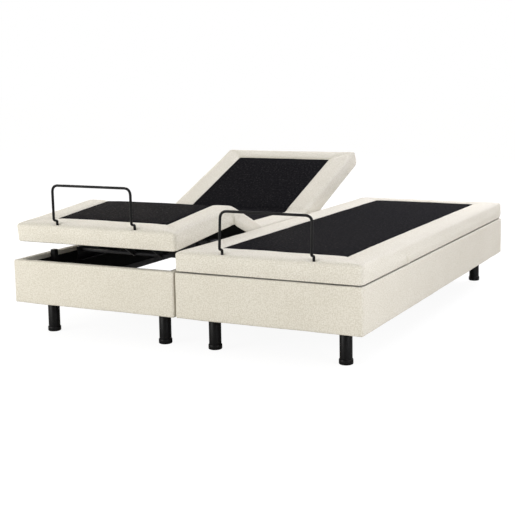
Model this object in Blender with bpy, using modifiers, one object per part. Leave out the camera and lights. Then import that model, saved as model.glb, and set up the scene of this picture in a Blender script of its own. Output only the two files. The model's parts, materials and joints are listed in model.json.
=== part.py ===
"""Adjustable twin bed base: two motorised upholstered box bases side by side.

Metres, +Z up. The origin is on the floor, under the middle of the pair. +X runs across the pair, the foot
end is at -Y and the head end at +Y. Each base has a fixed box and seat section, and its back, thigh and foot
sections turn on cross hinges. The left base stands raised and the right base lies flat.

Every piece is first laid out with its base flat (the layout), and the hinge empties then turn it.
"""

import math

import bpy
import bmesh
from mathutils import Matrix, Vector

# Driving dimensions
BASE_WIDTH = 0.800
BASE_LENGTH = 2.000
BASE_GAP = 0.006
LEG_HEIGHT = 0.140
BOX_HEIGHT = 0.185
BOARD_THICKNESS = 0.033
BOARD_EDGE = 0.003
SEAM = 0.003
PAD_THICKNESS = 0.078
PAD_RADIUS = 0.024
SEAT_LENGTH = 0.480
THIGH_LENGTH = 0.290
FOOT_LENGTH = 0.495
HINGE_RISE = 0.022
HINGE_GAP = 0.028
TOUCH = 0.0003

# Motion, in degrees: how far each section lifts, and where the left base stands
BACK_LIFT = 60.0
THIGH_LIFT = 36.0
KNEE_RATIO = 1.22
LEFT_BACK = 21.4
LEFT_THIGH = 23.7

LEG_INSET = 0.115
LEG_RADIUS = 0.025
LEG_CAP_RADIUS = 0.028
LEG_CAP_HEIGHT = 0.022
LEG_CAP_CHAMFER = 0.002
BEAM_WIDTH = 0.090
BEAM_HEIGHT = 0.025

RAIL_THICKNESS = 0.006
RAIL_HEIGHT = 0.060
RAIL_TOP_DROP = 0.003
RAIL_OVERHANG = 0.035
FLANGE_WIDTH = 0.030
FLANGE_THICKNESS = 0.004
FLANGE_SET = 0.001
SHAFT_RADIUS = 0.009
SHAFT_CLEARANCE = 0.0005
STAY_SHAFT_RADIUS = 0.007
EAR_HALF = 0.0125
EAR_RADIUS = 0.0132
LUG_RISE = 0.003
LUG_MARGIN = 0.001
FOLD_MARGIN = 0.001
CUT_PAST = 0.010

ARM_SPACING = 0.200
ARM_WIDTH = 0.030
KNEE_ARM_WIDTH = 0.014
KNEE_ARM_GAP = 0.002
KNEE_UNDERCUT = 0.016
KNEE_LUG_START = 0.004
KNEE_LUG_BACK = 0.012
KNEE_LUG_SIDE = 0.006
KNEE_LUG_TOP = 0.009
KNEE_LUG_CHAMFER = ((0.007, -0.018), (0.010, -0.001))
KNEE_PIN_PAST = 0.002
ARM_THICKNESS = 0.012
ARM_END_MARGIN = 0.120
KNEE_PIN_RADIUS = 0.006
STAY_PIN_FROM_KNEE = 0.260
STAY_PIN_DROP = 0.037
STAY_PIN_RADIUS = 0.005
STAY_PIN_CLEARANCE = 0.0022
STAY_THICKNESS = 0.008
STAY_SPACING = 0.144
STAY_HALF = 0.0115
STAY_LUG = 0.010
STAY_LUG_DROP = 0.002
STAY_LUG_FACE = (0.026, 0.022)

LEVER_LENGTH = 0.120
LEVER_THICKNESS = 0.008
LEVER_CLEARANCE = 0.0025
LEVER_HALF = 0.018
LEVER_SPACING = 0.100
NECK_HALF = 0.010
NECK_DROP = 0.052
NECK_LAP = 0.002
FORK_TIP = 0.006
DRIVE_LEVEL_SHARE = 0.87
DRIVE_PIN_RADIUS = 0.006
DRIVE_PIN_CLEARANCE = 0.0025
ROD_RADIUS = 0.010
ROD_TAIL = 0.200
ROD_CLEARANCE = 0.001
CLEVIS_LENGTH = 0.050
CLEVIS_HALF = 0.010
CLEVIS_CHEEK = 0.006
CLEVIS_NOSE = 0.010
CLEVIS_WEB = 0.012
CLEVIS_LAP = 0.006
SLOT_PAST = 0.010
DRIVE_PIN_PAST = 0.002
ROD_TAIL_RADIUS = 0.0096
SLEEVE_GAP = 0.005
SLEEVE_LAP = 0.010
BORE_WALL = 0.012
BORE_END_PLAY = 0.002
SLEEVE_RADIUS = 0.017
GEARBOX_WIDTH = 0.070
GEARBOX_LENGTH = 0.090
GEARBOX_BELOW = 0.034
MOTOR_RADIUS = 0.026
MOTOR_LENGTH = 0.110
CROSSBAR_WIDTH = 0.030
CROSSBAR_HEIGHT = 0.026
CROSSBAR_INSET = 0.115
GEARBOX_BEHIND_BAR = 0.020

BAR_WIDTH = 0.390
BAR_RISE = 0.176
BAR_RADIUS = 0.0055
BAR_BEND = 0.025
BAR_FROM_END = 0.0065
BAR_JOG = 0.0205
BAR_JOG_RISE = 0.010
BAR_JOG_HEIGHT = 0.022
BAR_JOG_EASE = (0.003, 0.002)
BAR_DEPTH = 0.060
BAR_CLEARANCE = 0.001

BLOCK_SIZE = (0.024, 0.024, 0.050)
BLOCK_PROUD = 0.014
BLOCK_FROM_END = 0.220
BLOCK_CLEARANCE = 0.002
BLOCK_EDGE = 0.002
CONTROL_SIZE = (0.140, 0.120, 0.034)
CONTROL_OUTWARD = 0.050
COUPLER_SIZE = (0.110, 0.060, 0.004)

# Heights and places that follow from them, along Y and Z with the base flat
RIM = LEG_HEIGHT + BOX_HEIGHT
PAD_BOTTOM = RIM + SEAM
PAD_TOP = PAD_BOTTOM + PAD_THICKNESS
HINGE_HEIGHT = PAD_BOTTOM + HINGE_RISE
FOOT_END = -BASE_LENGTH / 2
HEAD_END = BASE_LENGTH / 2
INNER_HALF = BASE_WIDTH / 2 - BOARD_THICKNESS
KNEE = Vector((0, FOOT_END + FOOT_LENGTH, HINGE_HEIGHT))
THIGH_HINGE = KNEE + Vector((0, THIGH_LENGTH, 0))
BACK_HINGE = THIGH_HINGE + Vector((0, SEAT_LENGTH, 0))
ARM_TOP = PAD_BOTTOM - TOUCH
RAIL_OUTSIDE = INNER_HALF - TOUCH
RAIL_INSIDE = RAIL_OUTSIDE - RAIL_THICKNESS
RAIL_TOP = RIM - RAIL_TOP_DROP
RAIL_BOTTOM = RAIL_TOP - RAIL_HEIGHT
DRIVE_HEIGHT = HINGE_HEIGHT - LEVER_LENGTH
CROSSBAR_BOTTOM = RAIL_BOTTOM + FLANGE_SET + FLANGE_THICKNESS + TOUCH

# How each section pair opens: half of the largest angle between them
BACK_HALF_ANGLE = math.radians(BACK_LIFT) / 2
THIGH_HALF_ANGLE = math.radians(THIGH_LIFT) / 2


def turned_about_x(point, centre, angle):
    """The point turned about the cross axis through the centre; positive lifts the +Y side."""
    return centre + Matrix.Rotation(angle, 3, "X") @ (point - centre)


def circle_centre(first, second, third):
    """The centre of the circle through three points in the YZ plane."""
    (ay, az), (by, bz), (cy, cz) = ((p.y, p.z) for p in (first, second, third))
    twice_area = 2 * (ay * (bz - cz) + by * (cz - az) + cy * (az - bz))
    a, b, c = ay * ay + az * az, by * by + bz * bz, cy * cy + cz * cz
    y = (a * (bz - cz) + b * (cz - az) + c * (az - bz)) / twice_area
    z = (a * (cy - by) + b * (ay - cy) + c * (by - ay)) / twice_area
    return Vector((0, y, z))


STAY_PIN = KNEE + Vector((0, -STAY_PIN_FROM_KNEE, -STAY_PIN_DROP))


def stay_pin_at(lift):
    """Where the foot section's stay pin is once the thigh section has lifted by this angle."""
    on_thigh = turned_about_x(STAY_PIN, KNEE, lift * KNEE_RATIO)
    return turned_about_x(on_thigh, THIGH_HINGE, -lift)


# The stay turns about the centre of the arc that its pin follows
FULL_LIFT = math.radians(THIGH_LIFT)
STAY_PIVOT = circle_centre(stay_pin_at(0), stay_pin_at(FULL_LIFT / 2), stay_pin_at(FULL_LIFT))


def stay_angle(lift):
    reach = stay_pin_at(lift) - STAY_PIVOT
    return math.atan2(reach.z, -reach.y)


# The stay's turn isn't quite even over the lift; levelling shares the error, which the pin clearance takes
STAY_LEVELLING = 0.992
STAY_RATIO = STAY_LEVELLING * (stay_angle(FULL_LIFT) - stay_angle(0)) / FULL_LIFT


def drive_ratio(half_angle):
    """Rod travel for each radian of lift: the lever's tangent law, levelled over the range."""
    level_at = DRIVE_LEVEL_SHARE * half_angle
    return LEVER_LENGTH * math.tan(level_at) / level_at


BACK_DRIVE_RATIO = drive_ratio(BACK_HALF_ANGLE)
THIGH_DRIVE_RATIO = drive_ratio(THIGH_HALF_ANGLE)


def clear_scene():
    for obj in list(bpy.data.objects):
        bpy.data.objects.remove(obj, do_unlink=True)


def new_collection(name):
    collection = bpy.data.collections.new(name)
    bpy.context.scene.collection.children.link(collection)
    return collection


def material(name, color, roughness, metallic=0.0):
    made = bpy.data.materials.new(name)
    made.use_nodes = True
    shader = made.node_tree.nodes["Principled BSDF"]
    shader.inputs["Base Color"].default_value = (*color, 1.0)
    shader.inputs["Roughness"].default_value = roughness
    shader.inputs["Metallic"].default_value = metallic
    made.diffuse_color = (*color, 1.0)
    return made


clear_scene()
PARTS = new_collection("adjustable_twin_bed_base")
TOOLS = new_collection("cutters")
CREAM_FABRIC = material("cream_fabric", (0.76, 0.72, 0.62), 0.9)
PLATFORM_FABRIC = material("platform_fabric", (0.80, 0.77, 0.69), 0.9)
BLACK_METAL = material("black_metal", (0.012, 0.012, 0.013), 0.4, 0.6)
GREY_STEEL = material("grey_steel", (0.10, 0.10, 0.11), 0.45, 0.8)
BRIGHT_STEEL = material("bright_steel", (0.55, 0.55, 0.56), 0.3, 1.0)
DRIVE_PLASTIC = material("drive_plastic", (0.03, 0.03, 0.033), 0.5)
PLAIN_WOOD = material("plain_wood", (0.50, 0.36, 0.22), 0.7)
RUBBER = material("rubber", (0.02, 0.02, 0.02), 0.8)


class Frame:
    """An axis that pieces turn about or slide along, with its place in the layout."""

    def __init__(self, name, layout_place, parent=None, x_offset=0.0):
        self.place = Vector(layout_place)
        self.empty = bpy.data.objects.new(name, None)
        self.empty.empty_display_size = 0.05
        PARTS.objects.link(self.empty)
        if parent is None:
            self.empty.location = self.place + Vector((x_offset, 0, 0))
        else:
            self.empty.parent = parent.empty
            self.empty.location = self.place - parent.place

    def lift(self, angle):
        self.empty.rotation_euler.x = angle

    def slide(self, offset):
        self.empty.location += Vector(offset)


def mesh_from(working, name):
    bmesh.ops.recalc_face_normals(working, faces=working.faces)
    mesh = bpy.data.meshes.new(name)
    working.to_mesh(mesh)
    working.free()
    return mesh


def block(low, high):
    """A box between two corners of the layout."""
    low, high = Vector(low), Vector(high)
    working = bmesh.new()
    bmesh.ops.create_cube(working, size=1.0)
    bmesh.ops.scale(working, vec=high - low, verts=working.verts)
    bmesh.ops.translate(working, vec=(low + high) / 2, verts=working.verts)
    return mesh_from(working, "block")


def block_about(centre, size):
    centre, half = Vector(centre), Vector(size) / 2
    return block(centre - half, centre + half)


def rod(start, end, radius, sides=24):
    start, end = Vector(start), Vector(end)
    turn = (end - start).to_track_quat("Z", "Y").to_matrix().to_4x4()
    working = bmesh.new()
    bmesh.ops.create_cone(
        working, cap_ends=True, segments=sides, radius1=radius, radius2=radius, depth=(end - start).length,
        matrix=Matrix.Translation((start + end) / 2) @ turn,
    )
    return mesh_from(working, "rod")


def cross_rod(place, reach, radius, sides=24):
    """A rod along X, the same length to both sides of the place."""
    return rod(Vector(place) - Vector((reach, 0, 0)), Vector(place) + Vector((reach, 0, 0)), radius, sides)


def arc(centre, radius, start, end, steps=4):
    """Points along an arc in a plane, from one angle to another."""
    angles = [start + (end - start) * i / steps for i in range(steps + 1)]
    return [(centre[0] + radius * math.cos(a), centre[1] + radius * math.sin(a)) for a in angles]


def stadium(first, second, radius):
    """The outline of a link with round ends; the second end lies on the -Y side of the first."""
    tilt = math.atan2(first.z - second.z, first.y - second.y)
    ends = arc((first.y, first.z), radius, tilt - math.pi / 2, tilt + math.pi / 2, 8)
    return ends + arc((second.y, second.z), radius, tilt + math.pi / 2, tilt + 3 * math.pi / 2, 8)


def plate(outline, x_middle, thickness):
    """A flat plate across X, from its outline along Y and Z."""
    curve = bpy.data.curves.new("outline", "CURVE")
    curve.dimensions = "2D"
    curve.fill_mode = "BOTH"
    curve.extrude = thickness / 2
    spline = curve.splines.new("POLY")
    spline.points.add(len(outline) - 1)
    for point, (y, z) in zip(spline.points, outline):
        point.co = (y, z, 0, 1)
    spline.use_cyclic_u = True
    flat = bpy.data.objects.new("outline", curve)
    bpy.context.scene.collection.objects.link(flat)
    bpy.context.view_layer.update()
    mesh = bpy.data.meshes.new_from_object(flat.evaluated_get(bpy.context.evaluated_depsgraph_get()))
    bpy.data.objects.remove(flat, do_unlink=True)
    upright = Matrix(((0, 0, 1, x_middle), (1, 0, 0, 0), (0, 1, 0, 0), (0, 0, 0, 1)))
    working = bmesh.new()
    working.from_mesh(mesh)
    bmesh.ops.remove_doubles(working, verts=working.verts, dist=0.00005)
    bmesh.ops.transform(working, matrix=upright, verts=working.verts)
    return mesh_from(working, "plate")


def set_down(name, mesh, frame, collection):
    """An object whose origin is the frame's axis, holding a mesh drawn in the layout."""
    mesh.transform(Matrix.Translation(-frame.place))
    obj = bpy.data.objects.new(name, mesh)
    obj.parent = frame.empty
    collection.objects.link(obj)
    return obj


def combine(obj, frame, operation, meshes):
    """Boolean modifiers that join the meshes to the object, cut them from it, or keep what they share."""
    for mesh in meshes:
        helper = set_down(obj.name + "_" + operation.lower(), mesh, frame, TOOLS)
        helper.hide_render = True
        helper.display_type = "WIRE"
        boolean = obj.modifiers.new(operation.title(), "BOOLEAN")
        boolean.operation = operation
        boolean.object = helper


def piece(name, frame, surface, shapes, cuts=(), joined_last=(), bevel=0.0):
    """A node made of one or more joined shapes, less its cuts, and what is joined after them."""
    obj = set_down(name, shapes[0], frame, PARTS)
    obj.data.materials.append(surface)
    combine(obj, frame, "UNION", shapes[1:])
    combine(obj, frame, "DIFFERENCE", cuts)
    combine(obj, frame, "UNION", joined_last)
    if bevel:
        rounded = obj.modifiers.new("Edges", "BEVEL")
        rounded.width = bevel
        rounded.segments = 2
        rounded.limit_method = "ANGLE"
        rounded.angle_limit = math.radians(60)


def upward_fold_end(hinge, half_angle, side):
    """One end of a section, bottom to top, on the -1 or +1 side of a hinge that folds upwards: cut
    back above the axis by half of the fold's largest angle."""
    bottom, top = -HINGE_RISE - FOLD_MARGIN, PAD_THICKNESS - HINGE_RISE + FOLD_MARGIN
    half_gap = HINGE_GAP / 2
    bend = (half_gap - FOLD_MARGIN) / math.tan(half_angle)
    half_widths = [(bottom, half_gap)]
    if bend < top:
        half_widths.append((bend, half_gap))
    half_widths.append((top, max(half_gap, top * math.tan(half_angle) + FOLD_MARGIN)))
    return [(hinge.y + side * width, hinge.z + height) for height, width in half_widths]


def knee_end(side):
    """One end of a section at the knee, bottom to top: the knee folds downwards, so it is cut back below."""
    half_gap = HINGE_GAP / 2
    half_widths = [
        (-HINGE_RISE - FOLD_MARGIN, half_gap + KNEE_UNDERCUT), (0, half_gap),
        (PAD_THICKNESS - HINGE_RISE + FOLD_MARGIN, half_gap),
    ]
    return [(KNEE.y + side * width, KNEE.z + height) for height, width in half_widths]


def pad(name, frame, front, rear, cuts=()):
    """One padded section of the platform: its length of the rounded slab, between two hinge ends."""
    slab = block(
        (-BASE_WIDTH / 2, FOOT_END, PAD_BOTTOM), (BASE_WIDTH / 2, HEAD_END, PAD_TOP)
    )
    obj = set_down(name, slab, frame, PARTS)
    obj.data.materials.append(PLATFORM_FABRIC)
    rounded = obj.modifiers.new("Padding", "BEVEL")
    rounded.width = PAD_RADIUS
    rounded.segments = 3
    combine(obj, frame, "INTERSECT", [plate(front + rear[::-1], 0, BASE_WIDTH + 2 * CUT_PAST)])
    combine(obj, frame, "DIFFERENCE", cuts)


def free_end(y):
    return [(y, PAD_BOTTOM - CUT_PAST), (y, PAD_TOP + CUT_PAST)]


def bar_sockets(radius_margin):
    """The two upright holes that the retainer bar stands in."""
    y = FOOT_END + BAR_FROM_END + BAR_JOG
    return [
        rod((side * BAR_WIDTH / 2, y, PAD_TOP - BAR_DEPTH - BAR_CLEARANCE),
            (side * BAR_WIDTH / 2, y, PAD_TOP + CUT_PAST), BAR_RADIUS + radius_margin, 16)
        for side in (-1, 1)
    ]


def block_places():
    """The centre and size of the side bumper blocks, inside both side boards at the foot end."""
    width, length, height = BLOCK_SIZE
    x = INNER_HALF - TOUCH - width / 2
    y = FOOT_END + BLOCK_FROM_END
    top = RIM + BLOCK_PROUD
    return [((side * x, y, top - height / 2), (width, length, height)) for side in (-1, 1)]


def make_sections(side, frames):
    """The four padded sections; the seat section is fixed to the box."""
    recesses = [
        block_about(Vector(centre), Vector(size) + Vector((1, 1, 1)) * 2 * BLOCK_CLEARANCE)
        for centre, size in block_places()
    ]
    pad(
        side + "_foot_pad", frames["knee"], free_end(FOOT_END - CUT_PAST),
        knee_end(-1), recesses + bar_sockets(BAR_CLEARANCE),
    )
    pad(
        side + "_thigh_pad", frames["thigh"], knee_end(1),
        upward_fold_end(THIGH_HINGE, THIGH_HALF_ANGLE, -1),
    )
    pad(
        side + "_seat_pad", frames["base"], upward_fold_end(THIGH_HINGE, THIGH_HALF_ANGLE, 1),
        upward_fold_end(BACK_HINGE, BACK_HALF_ANGLE, -1),
    )
    pad(
        side + "_back_pad", frames["back"], upward_fold_end(BACK_HINGE, BACK_HALF_ANGLE, 1),
        free_end(HEAD_END + CUT_PAST),
    )


def make_box(side, frame):
    """The four upholstered boards and the beams that the legs are bolted to."""
    half = BASE_WIDTH / 2
    end_inside = HEAD_END - BOARD_THICKNESS
    for name, y_sign in (("foot", -1), ("head", 1)):
        middle = y_sign * (HEAD_END - BOARD_THICKNESS / 2)
        piece(
            f"{side}_{name}_board", frame, CREAM_FABRIC,
            [block_about(
                (0, middle, LEG_HEIGHT + BOX_HEIGHT / 2), (BASE_WIDTH, BOARD_THICKNESS, BOX_HEIGHT)
            )],
            bevel=BOARD_EDGE,
        )
        piece(
            f"{side}_{name}_leg_beam", frame, PLAIN_WOOD,
            [block_about(
                (0, y_sign * (HEAD_END - LEG_INSET), LEG_HEIGHT + TOUCH + BEAM_HEIGHT / 2),
                (2 * RAIL_OUTSIDE, BEAM_WIDTH, BEAM_HEIGHT),
            )],
        )
    for name, x_sign in (("left", -1), ("right", 1)):
        piece(
            f"{side}_{name}_side_board", frame, CREAM_FABRIC,
            [block_about(
                (x_sign * (half - BOARD_THICKNESS / 2), 0, LEG_HEIGHT + BOX_HEIGHT / 2),
                (BOARD_THICKNESS, 2 * (end_inside - TOUCH), BOX_HEIGHT),
            )],
            bevel=BOARD_EDGE,
        )
    for (centre, size), name in zip(block_places(), ("left", "right")):
        piece(f"{side}_{name}_bumper_block", frame, RUBBER, [block_about(centre, size)], bevel=BLOCK_EDGE)


def make_leg(name, base, x, y):
    """A turned leg with a wider foot cap, on the floor."""
    frame = Frame(name + "_place", (x, y, 0), base)
    profile = [
        (0, 0), (LEG_CAP_RADIUS - LEG_CAP_CHAMFER, 0), (LEG_CAP_RADIUS, LEG_CAP_CHAMFER),
        (LEG_CAP_RADIUS, LEG_CAP_HEIGHT - LEG_CAP_CHAMFER), (LEG_RADIUS, LEG_CAP_HEIGHT),
        (LEG_RADIUS, LEG_HEIGHT), (0, LEG_HEIGHT),
    ]
    mesh = bpy.data.meshes.new(name)
    points = [(radius, 0, height) for radius, height in reversed(profile)]
    mesh.from_pydata(points, [(i, i + 1) for i in range(len(points) - 1)], [])
    leg = bpy.data.objects.new(name, mesh)
    leg.parent = frame.empty
    PARTS.objects.link(leg)
    mesh.materials.append(BLACK_METAL)
    screw = leg.modifiers.new("Turned", "SCREW")
    screw.steps = screw.render_steps = 28
    screw.use_merge_vertices = True
    screw.merge_threshold = 0.00005
    return leg


def make_rails(side, frame):
    """The steel angle rails along the box: a rounded ear at each section hinge, a hole for the stay shaft."""
    front = STAY_PIVOT.y - RAIL_OVERHANG
    rear = BACK_HINGE.y + RAIL_OVERHANG
    outline = [(front, RAIL_BOTTOM), (rear, RAIL_BOTTOM), (rear, RAIL_TOP)]
    for hinge in (BACK_HINGE, THIGH_HINGE):
        outline.append((hinge.y + EAR_RADIUS, RAIL_TOP))
        outline += arc((hinge.y, hinge.z), EAR_RADIUS, 0, math.pi, 10)
        outline.append((hinge.y - EAR_RADIUS, RAIL_TOP))
    outline.append((front, RAIL_TOP))
    flange_low = RAIL_BOTTOM + FLANGE_SET
    for name, x_sign in (("left", -1), ("right", 1)):
        middle = x_sign * (RAIL_INSIDE + RAIL_OUTSIDE) / 2
        flange_x = sorted((x_sign * (RAIL_INSIDE - FLANGE_WIDTH), middle))
        shapes = [
            plate(outline, middle, RAIL_THICKNESS),
            block(
                (flange_x[0], front + FLANGE_SET, flange_low),
                (flange_x[1], rear - FLANGE_SET, flange_low + FLANGE_THICKNESS),
            ),
        ]
        holes = [
            cross_rod((middle, place.y, place.z), 2 * CUT_PAST, radius + SHAFT_CLEARANCE)
            for place, radius in (
                (THIGH_HINGE, SHAFT_RADIUS), (BACK_HINGE, SHAFT_RADIUS), (STAY_PIVOT, STAY_SHAFT_RADIUS)
            )
        ]
        piece(f"{side}_{name}_side_rail", frame, GREY_STEEL, shapes, holes)


def hinge_lug(hinge, toward):
    """The outline where an arm hangs from a hinge shaft, from its underside round to its top."""
    low, half = ARM_TOP - ARM_THICKNESS, EAR_HALF - LUG_MARGIN
    return [
        (hinge.y - toward * half, low), (hinge.y - toward * half, hinge.z + LUG_RISE),
        (hinge.y + toward * half, hinge.z + LUG_RISE), (hinge.y + toward * half, ARM_TOP),
    ]


def knee_lug(toward):
    """The same at the knee, chamfered so that the other section clears it as the knee bends."""
    low, back = ARM_TOP - ARM_THICKNESS, KNEE.y + toward * KNEE_LUG_BACK
    (low_out, low_height), (side_out, side_height) = KNEE_LUG_CHAMFER
    return [
        (KNEE.y + toward * KNEE_LUG_START, low), (KNEE.y - toward * low_out, KNEE.z + low_height),
        (KNEE.y - toward * side_out, KNEE.z + side_height),
        (KNEE.y - toward * KNEE_LUG_SIDE, KNEE.z + KNEE_LUG_TOP),
        (KNEE.y + toward * KNEE_LUG_SIDE, KNEE.z + KNEE_LUG_TOP),
        (back, KNEE.z + side_height), (back, ARM_TOP),
    ]


def arm_end(y):
    return [(y, ARM_TOP), (y, ARM_TOP - ARM_THICKNESS)]


def arm_pair(outline, x_middle, width):
    return [plate(outline, x_sign * x_middle, width) for x_sign in (-1, 1)]


def lever(hinge, x, half_angle, lean):
    """The forked lever below a hinge shaft. It leans towards lean (-1 or +1 along Y) by half its swing."""
    neck_top, neck_bottom = hinge.z + LUG_RISE, hinge.z - NECK_DROP
    neck = plate(
        [(hinge.y - NECK_HALF, neck_top), (hinge.y + NECK_HALF, neck_top),
         (hinge.y + NECK_HALF, neck_bottom), (hinge.y - NECK_HALF, neck_bottom)],
        x, LEVER_THICKNESS + NECK_LAP,
    )
    slot_half = DRIVE_PIN_RADIUS + DRIVE_PIN_CLEARANCE
    longest = LEVER_LENGTH / math.cos(half_angle)
    slot_start = LEVER_LENGTH - slot_half - NECK_LAP
    tip = longest + DRIVE_PIN_RADIUS + FORK_TIP
    fork_top = NECK_DROP - NECK_LAP
    across_down = [
        (-LEVER_HALF, fork_top), (LEVER_HALF, fork_top), (LEVER_HALF, tip), (slot_half, tip),
        (slot_half, slot_start), (-slot_half, slot_start), (-slot_half, tip), (-LEVER_HALF, tip),
    ]
    along = Vector((lean * math.sin(half_angle), -math.cos(half_angle)))
    across = Vector((math.cos(half_angle), lean * math.sin(half_angle)))
    outline = [tuple(Vector((hinge.y, hinge.z)) + u * across + v * along) for u, v in across_down]
    return [neck, plate(outline, x, LEVER_THICKNESS)]


def make_lift_frames(side, frames):
    """The steel frames that lift the sections, and the stay that holds the foot section's slope."""
    shaft_reach = RAIL_OUTSIDE - TOUCH
    back_end = HEAD_END - ARM_END_MARGIN
    half_pitch = (KNEE_ARM_WIDTH + KNEE_ARM_GAP) / 2
    thigh_arm, foot_arm = ARM_SPACING / 2 + half_pitch, ARM_SPACING / 2 - half_pitch
    piece(
        side + "_back_lift_frame", frames["back"], GREY_STEEL,
        [cross_rod(BACK_HINGE, shaft_reach, SHAFT_RADIUS)]
        + arm_pair(hinge_lug(BACK_HINGE, 1) + arm_end(back_end), ARM_SPACING / 2, ARM_WIDTH)
        + lever(BACK_HINGE, -LEVER_SPACING / 2, BACK_HALF_ANGLE, -1),
    )
    piece(
        side + "_thigh_lift_frame", frames["thigh"], GREY_STEEL,
        [cross_rod(THIGH_HINGE, shaft_reach, SHAFT_RADIUS)]
        + arm_pair(hinge_lug(THIGH_HINGE, -1) + knee_lug(1)[::-1], thigh_arm, KNEE_ARM_WIDTH)
        + lever(THIGH_HINGE, LEVER_SPACING / 2, THIGH_HALF_ANGLE, 1),
        [cross_rod(KNEE, ARM_SPACING, KNEE_PIN_RADIUS + SHAFT_CLEARANCE, 20)],
    )
    stay_pins = []
    for x_sign in (-1, 1):
        lug_x = x_sign * (foot_arm - KNEE_ARM_WIDTH / 2 + STAY_LUG / 2 + LUG_MARGIN)
        pin_end = x_sign * (STAY_SPACING / 2 - STAY_THICKNESS)
        stay_pins.append(block_about(
            (lug_x, STAY_PIN.y, STAY_PIN.z - STAY_LUG_DROP), (STAY_LUG, *STAY_LUG_FACE)
        ))
        stay_pins.append(rod(
            (lug_x, STAY_PIN.y, STAY_PIN.z), (pin_end, STAY_PIN.y, STAY_PIN.z), STAY_PIN_RADIUS, 16
        ))
    pin_reach = thigh_arm + KNEE_ARM_WIDTH / 2 + KNEE_PIN_PAST
    piece(
        side + "_foot_lift_frame", frames["knee"], GREY_STEEL,
        [cross_rod(KNEE, pin_reach, KNEE_PIN_RADIUS, 20)]
        + arm_pair(knee_lug(-1) + arm_end(FOOT_END + ARM_END_MARGIN), foot_arm, KNEE_ARM_WIDTH) + stay_pins,
    )
    links = arm_pair(stadium(STAY_PIVOT, STAY_PIN, STAY_HALF), STAY_SPACING / 2, STAY_THICKNESS)
    piece(
        side + "_foot_stay", frames["stay"], GREY_STEEL,
        [cross_rod(STAY_PIVOT, shaft_reach, STAY_SHAFT_RADIUS, 20)] + links,
        [cross_rod(STAY_PIN, ARM_SPACING, STAY_PIN_RADIUS + STAY_PIN_CLEARANCE, 20)],
    )


def make_drive(side, name, base, rod_frame, hinge, x, half_angle, push, ratio):
    """A linear drive under the seat, and its rod, whose cross pin works the forked lever."""
    pin_flat = hinge.y - push * ratio * half_angle
    middle = (THIGH_HINGE.y + BACK_HINGE.y) / 2
    back_end = middle - push * (CROSSBAR_INSET + GEARBOX_BEHIND_BAR)
    front_face = back_end + push * GEARBOX_LENGTH
    clevis_base = pin_flat - push * (CLEVIS_LENGTH + CLEVIS_NOSE)
    sleeve_end = clevis_base - push * SLEEVE_GAP
    y = sorted((back_end, front_face))
    outward = math.copysign(1, x)
    motor_middle = (y[0] + y[1]) / 2
    gearbox = block(
        (x - GEARBOX_WIDTH / 2, y[0], DRIVE_HEIGHT - GEARBOX_BELOW),
        (x + GEARBOX_WIDTH / 2, y[1], CROSSBAR_BOTTOM - TOUCH),
    )
    sleeve = rod(
        (x, front_face - push * SLEEVE_LAP, DRIVE_HEIGHT), (x, sleeve_end, DRIVE_HEIGHT), SLEEVE_RADIUS
    )
    motor = rod(
        (x, motor_middle, DRIVE_HEIGHT),
        (x + outward * (GEARBOX_WIDTH / 2 + MOTOR_LENGTH), motor_middle, DRIVE_HEIGHT),
        MOTOR_RADIUS,
    )
    bore = rod(
        (x, back_end + push * BORE_WALL, DRIVE_HEIGHT), (x, sleeve_end + push * CUT_PAST, DRIVE_HEIGHT),
        ROD_RADIUS + ROD_CLEARANCE, 20,
    )
    piece(f"{side}_{name}_drive", base, DRIVE_PLASTIC, [gearbox, sleeve, motor], [bore])

    tail = back_end + push * (BORE_WALL + BORE_END_PLAY)
    if push * (clevis_base - tail) > ROD_TAIL:
        tail = clevis_base - push * ROD_TAIL
    slot_half = LEVER_THICKNESS / 2 + LEVER_CLEARANCE
    clevis_half = slot_half + CLEVIS_CHEEK
    clevis_y = sorted((clevis_base, pin_flat + push * CLEVIS_NOSE))
    slot_y = sorted((clevis_base + push * CLEVIS_WEB, pin_flat + push * (CLEVIS_NOSE + SLOT_PAST)))
    shapes = [
        block(
            (x - clevis_half, clevis_y[0], DRIVE_HEIGHT - CLEVIS_HALF),
            (x + clevis_half, clevis_y[1], DRIVE_HEIGHT + CLEVIS_HALF),
        ),
        rod((x, tail, DRIVE_HEIGHT), (x, clevis_base + push * CLEVIS_LAP, DRIVE_HEIGHT), ROD_TAIL_RADIUS, 20),
    ]
    slot = block(
        (x - slot_half, slot_y[0], DRIVE_HEIGHT - CLEVIS_HALF - CUT_PAST),
        (x + slot_half, slot_y[1], DRIVE_HEIGHT + CLEVIS_HALF + CUT_PAST),
    )
    pin = cross_rod((x, pin_flat, DRIVE_HEIGHT), clevis_half + DRIVE_PIN_PAST, DRIVE_PIN_RADIUS, 16)
    piece(f"{side}_{name}_drive_rod", rod_frame, BRIGHT_STEEL, shapes, [slot], [pin])


def make_crossbars(side, base):
    """The two bars between the rails that carry the drives."""
    middle = (THIGH_HINGE.y + BACK_HINGE.y) / 2
    for name, y_sign in (("front", -1), ("rear", 1)):
        y = middle + y_sign * CROSSBAR_INSET
        piece(
            f"{side}_{name}_crossbar", base, GREY_STEEL,
            [block(
                (-RAIL_INSIDE + TOUCH, y - CROSSBAR_WIDTH / 2, CROSSBAR_BOTTOM),
                (RAIL_INSIDE - TOUCH, y + CROSSBAR_WIDTH / 2, CROSSBAR_BOTTOM + CROSSBAR_HEIGHT),
            )],
        )


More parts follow.
